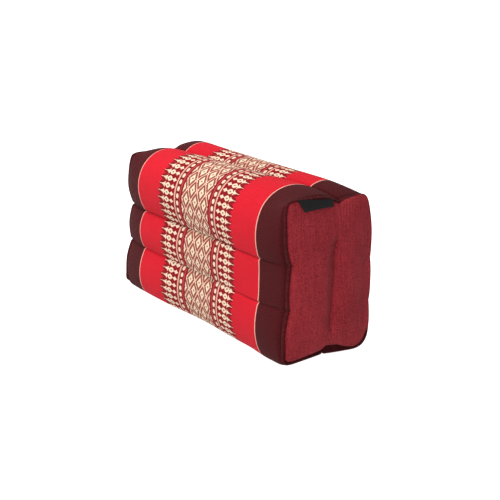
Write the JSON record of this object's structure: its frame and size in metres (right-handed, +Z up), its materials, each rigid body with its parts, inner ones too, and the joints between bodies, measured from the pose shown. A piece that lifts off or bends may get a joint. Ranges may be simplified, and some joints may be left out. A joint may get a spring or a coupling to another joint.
{
  "type": "yoga block cushion",
  "caption": "Stuffed cotton yoga block standing on its long narrow side, with sewn channels along its length, a woven banded cover and plain crowned end panels.",
  "frame": {"origin": "on the floor, under the middle of the cushion's box", "axes": "+X along the length towards the end with the label, +Y from the front to the back, +Z up from the floor"},
  "size_m": [0.3543, 0.1242, 0.1802],
  "materials": {
    "cover_cloth": "patterned woven cotton, bright red with cream figured bands and dark maroon ends",
    "panel_cloth": "plain burgundy cotton with a fine two-tone weave",
    "label_cloth": "bare black woven tape"
  },
  "bodies": {
    "root": {"filled_cover": "cover_cloth", "end_panel_right": "panel_cloth", "end_panel_left": "panel_cloth", "label_tab": "label_cloth"}
  },
  "joints": []
}
